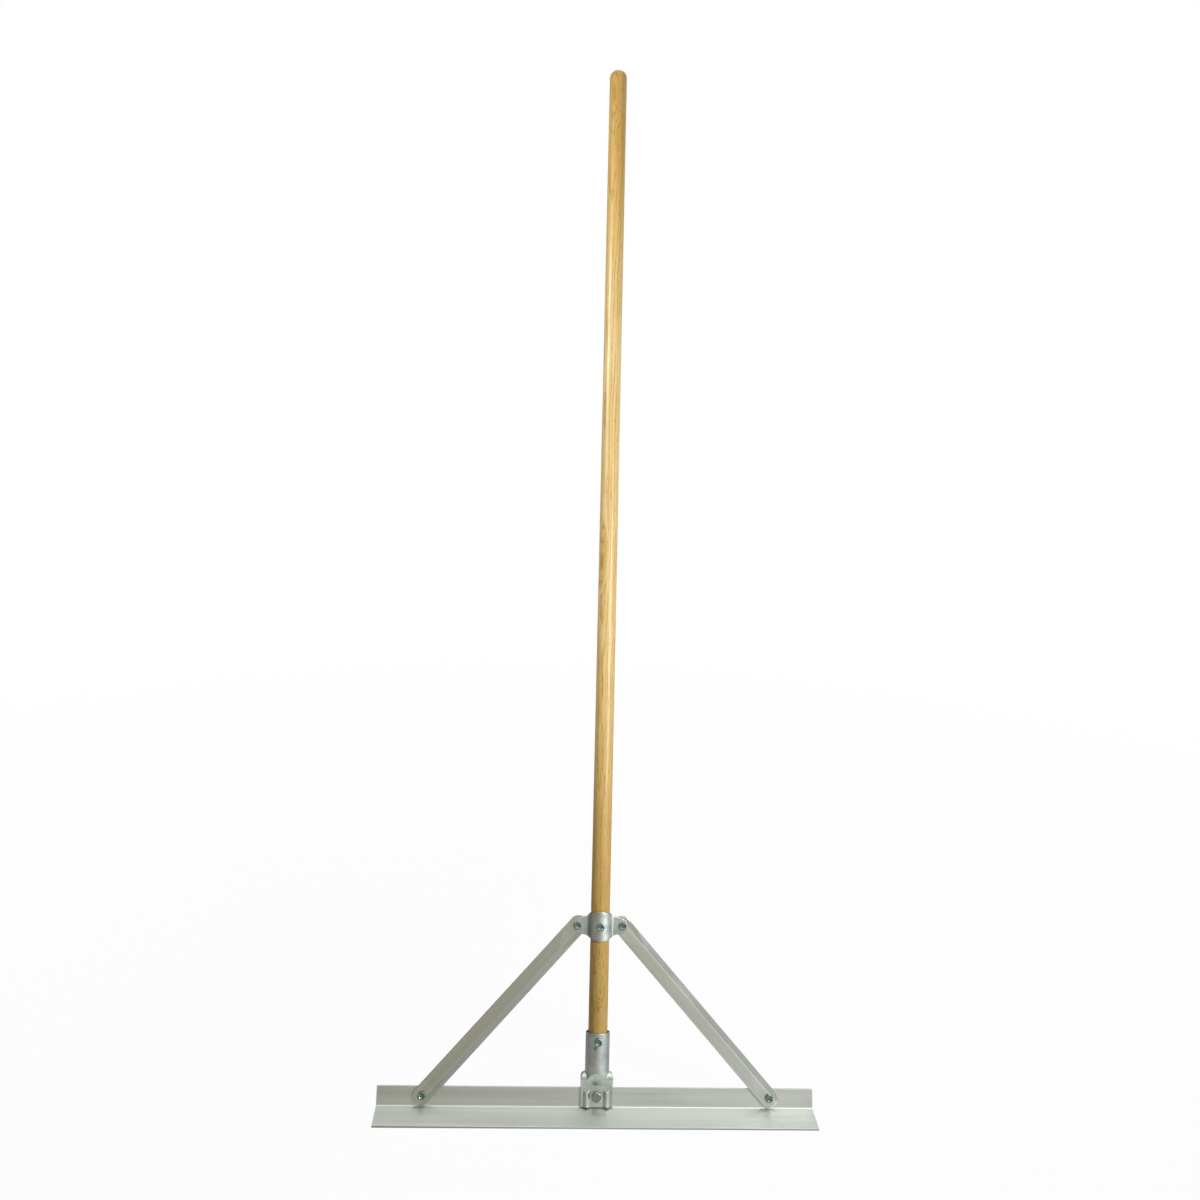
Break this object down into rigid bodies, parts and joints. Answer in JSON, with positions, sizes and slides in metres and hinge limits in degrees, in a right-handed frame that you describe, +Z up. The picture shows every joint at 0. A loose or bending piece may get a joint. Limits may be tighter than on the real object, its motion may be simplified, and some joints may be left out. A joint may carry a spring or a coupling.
{
  "type": "concrete spreader",
  "caption": "Concrete spreader with an aluminium angle blade on a long ash handle, held by a pressed socket and braced by flat bars to a saddle clamp.",
  "frame": {"origin": "middle of the blade's sole, on the floor", "axes": "+X along the blade to the user's right, +Z up, the handle leaning back towards +Y, away from the user's side of the blade"},
  "size_m": [0.61, 0.5831, 1.4665],
  "materials": {
    "ash": "turned ash, clear varnish",
    "blade_aluminium": "mill-finish extrusion",
    "brace_aluminium": "mill-finish flat bar",
    "pressed_steel": "pressed steel, bright zinc plate",
    "zinc_fastener": "blue passivated zinc plate"
  },
  "bodies": {
    "root": {"handle": "ash", "blade": "blade_aluminium", "socket": "pressed_steel", "brace_left": "brace_aluminium", "brace_right": "brace_aluminium", "saddle_front": "pressed_steel", "saddle_back": "pressed_steel", "socket_bolt": "zinc_fastener", "socket_washer": "zinc_fastener", "socket_nut": "zinc_fastener", "saddle_screw": "zinc_fastener", "socket_screw": "zinc_fastener", "brace_bolt_left": "zinc_fastener", "brace_bolt_right": "zinc_fastener", "brace_washer_left": "zinc_fastener", "brace_washer_right": "zinc_fastener", "brace_nut_left": "zinc_fastener", "brace_nut_right": "zinc_fastener", "saddle_bolt_left": "zinc_fastener", "saddle_bolt_right": "zinc_fastener", "saddle_washer_left": "zinc_fastener", "saddle_washer_right": "zinc_fastener", "saddle_nut_left": "zinc_fastener", "saddle_nut_right": "zinc_fastener"}
  },
  "joints": []
}
